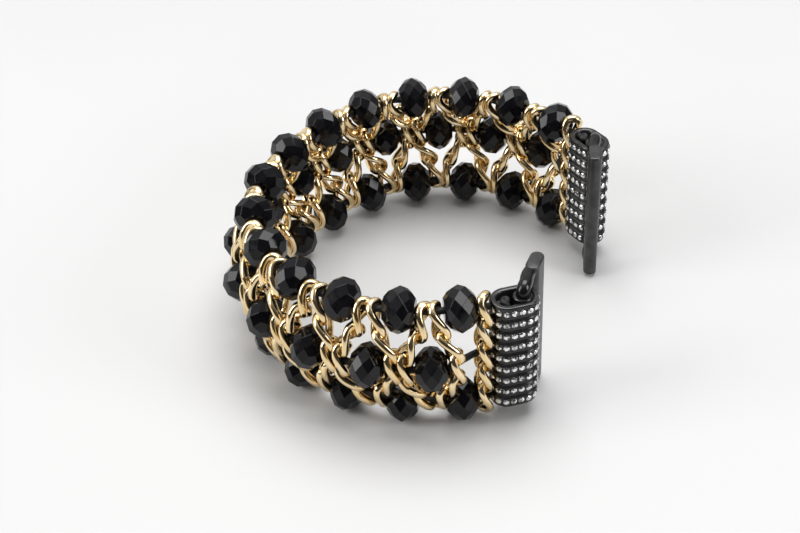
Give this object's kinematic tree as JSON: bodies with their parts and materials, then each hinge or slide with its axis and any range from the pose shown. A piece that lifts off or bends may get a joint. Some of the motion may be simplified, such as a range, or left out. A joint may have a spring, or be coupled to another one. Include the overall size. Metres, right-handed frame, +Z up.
{
  "type": "bead watch band",
  "caption": "Stretch band of three rows of cut glass beads netted with curb chain, with stone-set end connectors and swivelling slide-in lug adapters.",
  "frame": {"origin": "on the surface that the band stands on, under the middle of its box", "axes": "+Z up, along the axis of the wrist; the open side of the band, where the case goes, faces +X and -Y"},
  "size_m": [0.0708, 0.0768, 0.0278],
  "materials": {
    "bead_glass": "opaque black, cut and polished",
    "chain": "gold plate, bright cut",
    "connector_metal": "black plate, set with clear stones",
    "lug_metal": "black plate, polished",
    "cord": "black elastic"
  },
  "bodies": {
    "lug_adapter_a": {"lug_adapter_a": "lug_metal"},
    "connector_a": {"connector_a": "connector_metal"},
    "column_01": {"chain_links_01": "chain"},
    "column_02": {"chain_links_02": "chain"},
    "column_03": {"chain_links_03": "chain"},
    "column_04": {"chain_links_04": "chain"},
    "column_05": {"chain_links_05": "chain"},
    "column_06": {"chain_links_06": "chain"},
    "column_07": {"chain_links_07": "chain", "elastic_cords": "cord"},
    "column_08": {"chain_links_08": "chain"},
    "column_09": {"chain_links_09": "chain"},
    "column_10": {"chain_links_10": "chain"},
    "column_11": {"chain_links_11": "chain"},
    "column_12": {"chain_links_12": "chain"},
    "column_13": {"chain_links_13": "chain"},
    "column_14": {"chain_links_14": "chain"},
    "connector_b": {"connector_b": "connector_metal"},
    "lug_adapter_b": {"lug_adapter_b": "lug_metal"},
    "bead_top_01": {"bead_top_01": "bead_glass"},
    "bead_top_02": {"bead_top_02": "bead_glass"},
    "bead_top_03": {"bead_top_03": "bead_glass"},
    "bead_top_04": {"bead_top_04": "bead_glass"},
    "bead_top_05": {"bead_top_05": "bead_glass"},
    "bead_top_06": {"bead_top_06": "bead_glass"},
    "bead_top_07": {"bead_top_07": "bead_glass"},
    "bead_top_08": {"bead_top_08": "bead_glass"},
    "bead_top_09": {"bead_top_09": "bead_glass"},
    "bead_top_10": {"bead_top_10": "bead_glass"},
    "bead_top_11": {"bead_top_11": "bead_glass"},
    "bead_top_12": {"bead_top_12": "bead_glass"},
    "bead_top_13": {"bead_top_13": "bead_glass"},
    "bead_top_14": {"bead_top_14": "bead_glass"},
    "bead_bottom_01": {"bead_bottom_01": "bead_glass"},
    "bead_bottom_02": {"bead_bottom_02": "bead_glass"},
    "bead_bottom_03": {"bead_bottom_03": "bead_glass"},
    "bead_bottom_04": {"bead_bottom_04": "bead_glass"},
    "bead_bottom_05": {"bead_bottom_05": "bead_glass"},
    "bead_bottom_06": {"bead_bottom_06": "bead_glass"},
    "bead_bottom_07": {"bead_bottom_07": "bead_glass"},
    "bead_bottom_08": {"bead_bottom_08": "bead_glass"},
    "bead_bottom_09": {"bead_bottom_09": "bead_glass"},
    "bead_bottom_10": {"bead_bottom_10": "bead_glass"},
    "bead_bottom_11": {"bead_bottom_11": "bead_glass"},
    "bead_bottom_12": {"bead_bottom_12": "bead_glass"},
    "bead_bottom_13": {"bead_bottom_13": "bead_glass"},
    "bead_bottom_14": {"bead_bottom_14": "bead_glass"},
    "bead_middle_01": {"bead_middle_01": "bead_glass"},
    "bead_middle_02": {"bead_middle_02": "bead_glass"},
    "bead_middle_03": {"bead_middle_03": "bead_glass"},
    "bead_middle_04": {"bead_middle_04": "bead_glass"},
    "bead_middle_05": {"bead_middle_05": "bead_glass"},
    "bead_middle_06": {"bead_middle_06": "bead_glass"},
    "bead_middle_07": {"bead_middle_07": "bead_glass"},
    "bead_middle_08": {"bead_middle_08": "bead_glass"},
    "bead_middle_09": {"bead_middle_09": "bead_glass"},
    "bead_middle_10": {"bead_middle_10": "bead_glass"},
    "bead_middle_11": {"bead_middle_11": "bead_glass"},
    "bead_middle_12": {"bead_middle_12": "bead_glass"},
    "bead_middle_13": {"bead_middle_13": "bead_glass"}
  },
  "joints": [
    {"name": "lug_swivel_a", "type": "hinge", "parent": "connector_a", "child": "lug_adapter_a", "pos_m": [0.01571, -0.02984, 0.01389], "axis": [0, 0, 1], "range_deg": [-134, 26]},
    {"name": "bend_00", "type": "hinge", "parent": "connector_a", "child": "column_01", "pos_m": [0.0104, -0.03107, 0.01389], "axis": [0, 0, 1], "range_deg": [-3, 11], "deforming": ["elastic_cords"]},
    {"name": "bend_01", "type": "hinge", "parent": "column_01", "child": "column_02", "pos_m": [0.00053, -0.03176, 0.01389], "axis": [0, 0, 1], "range_deg": [-3, 10], "deforming": ["elastic_cords"]},
    {"name": "bend_02", "type": "hinge", "parent": "column_02", "child": "column_03", "pos_m": [-0.00922, -0.03004, 0.01389], "axis": [0, 0, 1], "range_deg": [-3, 15], "deforming": ["elastic_cords"]},
    {"name": "bend_03", "type": "hinge", "parent": "column_03", "child": "column_04", "pos_m": [-0.01788, -0.02524, 0.01389], "axis": [0, 0, 1], "range_deg": [-3, 15], "deforming": ["elastic_cords"]},
    {"name": "bend_04", "type": "hinge", "parent": "column_04", "child": "column_05", "pos_m": [-0.0245, -0.01788, 0.01389], "axis": [0, 0, 1], "range_deg": [-3, 15], "deforming": ["elastic_cords"]},
    {"name": "bend_05", "type": "hinge", "parent": "column_05", "child": "column_06", "pos_m": [-0.02837, -0.00877, 0.01389], "axis": [0, 0, 1], "range_deg": [-3, 17], "deforming": ["elastic_cords"]},
    {"name": "bend_06", "type": "hinge", "parent": "column_06", "child": "column_07", "pos_m": [-0.02872, 0.00112, 0.01389], "axis": [0, 0, 1], "range_deg": [-3, 16], "deforming": ["elastic_cords"]},
    {"name": "bend_07", "type": "hinge", "parent": "column_07", "child": "column_08", "pos_m": [-0.02566, 0.01054, 0.01389], "axis": [0, 0, 1], "range_deg": [-3, 11], "deforming": ["elastic_cords"]},
    {"name": "bend_08", "type": "hinge", "parent": "column_08", "child": "column_09", "pos_m": [-0.02027, 0.01884, 0.01389], "axis": [0, 0, 1], "range_deg": [-3, 8], "deforming": ["elastic_cords"]},
    {"name": "bend_09", "type": "hinge", "parent": "column_09", "child": "column_10", "pos_m": [-0.01327, 0.02584, 0.01389], "axis": [0, 0, 1], "range_deg": [-3, 13], "deforming": ["elastic_cords"]},
    {"name": "bend_10", "type": "hinge", "parent": "column_10", "child": "column_11", "pos_m": [-0.00453, 0.03049, 0.01389], "axis": [0, 0, 1], "range_deg": [-3, 17], "deforming": ["elastic_cords"]},
    {"name": "bend_11", "type": "hinge", "parent": "column_11", "child": "column_12", "pos_m": [0.0053, 0.0317, 0.01389], "axis": [0, 0, 1], "range_deg": [-3, 17], "deforming": ["elastic_cords"]},
    {"name": "bend_12", "type": "hinge", "parent": "column_12", "child": "column_13", "pos_m": [0.01491, 0.0293, 0.01389], "axis": [0, 0, 1], "range_deg": [-3, 14], "deforming": ["elastic_cords"]},
    {"name": "bend_13", "type": "hinge", "parent": "column_13", "child": "column_14", "pos_m": [0.0233, 0.02406, 0.01389], "axis": [0, 0, 1], "range_deg": [-3, 13], "deforming": ["elastic_cords"]},
    {"name": "bend_14", "type": "hinge", "parent": "column_14", "child": "connector_b", "pos_m": [0.0298, 0.01658, 0.01389], "axis": [0, 0, 1], "range_deg": [-3, 10], "deforming": ["elastic_cords"]},
    {"name": "lug_swivel_b", "type": "hinge", "parent": "connector_b", "child": "lug_adapter_b", "pos_m": [0.03277, 0.01201, 0.01389], "axis": [0, 0, 1], "range_deg": [-40, 120]},
    {"name": "spin_top_01", "type": "hinge", "parent": "column_01", "child": "bead_top_01", "pos_m": [0.00547, -0.03141, 0.02379], "axis": [-0.9976, -0.0698, 0], "continuous": true},
    {"name": "spin_top_02", "type": "hinge", "parent": "column_02", "child": "bead_top_02", "pos_m": [-0.00435, -0.0309, 0.02379], "axis": [-0.9848, 0.1736, 0], "continuous": true},
    {"name": "spin_top_03", "type": "hinge", "parent": "column_03", "child": "bead_top_03", "pos_m": [-0.01355, -0.02764, 0.02379], "axis": [-0.8746, 0.4848, 0], "continuous": true},
    {"name": "spin_top_04", "type": "hinge", "parent": "column_04", "child": "bead_top_04", "pos_m": [-0.02119, -0.02156, 0.02379], "axis": [-0.6691, 0.7431, 0], "continuous": true},
    {"name": "spin_top_05", "type": "hinge", "parent": "column_05", "child": "bead_top_05", "pos_m": [-0.02644, -0.01333, 0.02379], "axis": [-0.3907, 0.9205, 0], "continuous": true},
    {"name": "spin_top_06", "type": "hinge", "parent": "column_06", "child": "bead_top_06", "pos_m": [-0.02855, -0.00382, 0.02379], "axis": [-0.0349, 0.9994, 0], "continuous": true},
    {"name": "spin_top_07", "type": "hinge", "parent": "column_07", "child": "bead_top_07", "pos_m": [-0.02719, 0.00583, 0.02379], "axis": [0.309, 0.9511, 0], "continuous": true},
    {"name": "spin_top_08", "type": "hinge", "parent": "column_08", "child": "bead_top_08", "pos_m": [-0.02296, 0.01469, 0.02379], "axis": [0.5446, 0.8387, 0], "continuous": true},
    {"name": "spin_top_09", "type": "hinge", "parent": "column_09", "child": "bead_top_09", "pos_m": [-0.01677, 0.02234, 0.02379], "axis": [0.7071, 0.7071, 0], "continuous": true},
    {"name": "spin_top_10", "type": "hinge", "parent": "column_10", "child": "bead_top_10", "pos_m": [-0.0089, 0.02817, 0.02379], "axis": [0.8829, 0.4695, 0], "continuous": true},
    {"name": "spin_top_11", "type": "hinge", "parent": "column_11", "child": "bead_top_11", "pos_m": [0.00039, 0.03109, 0.02379], "axis": [0.9925, 0.1219, 0], "continuous": true},
    {"name": "spin_top_12", "type": "hinge", "parent": "column_12", "child": "bead_top_12", "pos_m": [0.0101, 0.0305, 0.02379], "axis": [0.9703, -0.2419, 0], "continuous": true},
    {"name": "spin_top_13", "type": "hinge", "parent": "column_13", "child": "bead_top_13", "pos_m": [0.0191, 0.02668, 0.02379], "axis": [0.848, -0.5299, 0], "continuous": true},
    {"name": "spin_top_14", "type": "hinge", "parent": "column_14", "child": "bead_top_14", "pos_m": [0.02655, 0.02032, 0.02379], "axis": [0.6561, -0.7547, 0], "continuous": true},
    {"name": "spin_bottom_01", "type": "hinge", "parent": "column_01", "child": "bead_bottom_01", "pos_m": [0.00547, -0.03141, 0.00399], "axis": [-0.9976, -0.0698, 0], "continuous": true},
    {"name": "spin_bottom_02", "type": "hinge", "parent": "column_02", "child": "bead_bottom_02", "pos_m": [-0.00435, -0.0309, 0.00399], "axis": [-0.9848, 0.1736, 0], "continuous": true},
    {"name": "spin_bottom_03", "type": "hinge", "parent": "column_03", "child": "bead_bottom_03", "pos_m": [-0.01355, -0.02764, 0.00399], "axis": [-0.8746, 0.4848, 0], "continuous": true},
    {"name": "spin_bottom_04", "type": "hinge", "parent": "column_04", "child": "bead_bottom_04", "pos_m": [-0.02119, -0.02156, 0.00399], "axis": [-0.6691, 0.7431, 0], "continuous": true},
    {"name": "spin_bottom_05", "type": "hinge", "parent": "column_05", "child": "bead_bottom_05", "pos_m": [-0.02644, -0.01333, 0.00399], "axis": [-0.3907, 0.9205, 0], "continuous": true},
    {"name": "spin_bottom_06", "type": "hinge", "parent": "column_06", "child": "bead_bottom_06", "pos_m": [-0.02855, -0.00382, 0.00399], "axis": [-0.0349, 0.9994, 0], "continuous": true},
    {"name": "spin_bottom_07", "type": "hinge", "parent": "column_07", "child": "bead_bottom_07", "pos_m": [-0.02719, 0.00583, 0.00399], "axis": [0.309, 0.9511, 0], "continuous": true},
    {"name": "spin_bottom_08", "type": "hinge", "parent": "column_08", "child": "bead_bottom_08", "pos_m": [-0.02296, 0.01469, 0.00399], "axis": [0.5446, 0.8387, 0], "continuous": true},
    {"name": "spin_bottom_09", "type": "hinge", "parent": "column_09", "child": "bead_bottom_09", "pos_m": [-0.01677, 0.02234, 0.00399], "axis": [0.7071, 0.7071, 0], "continuous": true},
    {"name": "spin_bottom_10", "type": "hinge", "parent": "column_10", "child": "bead_bottom_10", "pos_m": [-0.0089, 0.02817, 0.00399], "axis": [0.8829, 0.4695, 0], "continuous": true},
    {"name": "spin_bottom_11", "type": "hinge", "parent": "column_11", "child": "bead_bottom_11", "pos_m": [0.00039, 0.03109, 0.00399], "axis": [0.9925, 0.1219, 0], "continuous": true},
    {"name": "spin_bottom_12", "type": "hinge", "parent": "column_12", "child": "bead_bottom_12", "pos_m": [0.0101, 0.0305, 0.00399], "axis": [0.9703, -0.2419, 0], "continuous": true},
    {"name": "spin_bottom_13", "type": "hinge", "parent": "column_13", "child": "bead_bottom_13", "pos_m": [0.0191, 0.02668, 0.00399], "axis": [0.848, -0.5299, 0], "continuous": true},
    {"name": "spin_bottom_14", "type": "hinge", "parent": "column_14", "child": "bead_bottom_14", "pos_m": [0.02655, 0.02032, 0.00399], "axis": [0.6561, -0.7547, 0], "continuous": true},
    {"name": "spin_middle_01", "type": "hinge", "parent": "column_01", "child": "bead_middle_01", "pos_m": [0.00045, -0.03466, 0.01389], "axis": [-0.9997, 0.0262, 0], "continuous": true},
    {"name": "spin_middle_02", "type": "hinge", "parent": "column_02", "child": "bead_middle_02", "pos_m": [-0.01, -0.03283, 0.01389], "axis": [-0.9636, 0.2672, 0], "continuous": true},
    {"name": "spin_middle_03", "type": "hinge", "parent": "column_03", "child": "bead_middle_03", "pos_m": [-0.01952, -0.02763, 0.01389], "axis": [-0.8241, 0.5664, 0], "continuous": true},
    {"name": "spin_middle_04", "type": "hinge", "parent": "column_04", "child": "bead_middle_04", "pos_m": [-0.02684, -0.01961, 0.01389], "axis": [-0.5948, 0.8039, 0], "continuous": true},
    {"name": "spin_middle_05", "type": "hinge", "parent": "column_05", "child": "bead_middle_05", "pos_m": [-0.03114, -0.00964, 0.01389], "axis": [-0.3007, 0.9537, 0], "continuous": true},
    {"name": "spin_middle_06", "type": "hinge", "parent": "column_06", "child": "bead_middle_06", "pos_m": [-0.03161, 0.0013, 0.01389], "axis": [0.061, 0.9981, 0], "continuous": true},
    {"name": "spin_middle_07", "type": "hinge", "parent": "column_07", "child": "bead_middle_07", "pos_m": [-0.02832, 0.0117, 0.01389], "axis": [0.3987, 0.9171, 0], "continuous": true},
    {"name": "spin_middle_08", "type": "hinge", "parent": "column_08", "child": "bead_middle_08", "pos_m": [-0.02254, 0.02065, 0.01389], "axis": [0.6225, 0.7826, 0], "continuous": true},
    {"name": "spin_middle_09", "type": "hinge", "parent": "column_09", "child": "bead_middle_09", "pos_m": [-0.01511, 0.02808, 0.01389], "axis": [0.7716, 0.6361, 0], "continuous": true},
    {"name": "spin_middle_10", "type": "hinge", "parent": "column_10", "child": "bead_middle_10", "pos_m": [-0.00564, 0.03317, 0.01389], "axis": [0.9239, 0.3827, 0], "continuous": true},
    {"name": "spin_middle_11", "type": "hinge", "parent": "column_11", "child": "bead_middle_11", "pos_m": [0.00522, 0.0346, 0.01389], "axis": [0.9997, 0.0262, 0], "continuous": true},
    {"name": "spin_middle_12", "type": "hinge", "parent": "column_12", "child": "bead_middle_12", "pos_m": [0.01587, 0.03204, 0.01389], "axis": [0.9426, -0.3338, 0], "continuous": true},
    {"name": "spin_middle_13", "type": "hinge", "parent": "column_13", "child": "bead_middle_13", "pos_m": [0.02507, 0.02636, 0.01389], "axis": [0.7934, -0.6088, 0], "continuous": true}
  ]
}
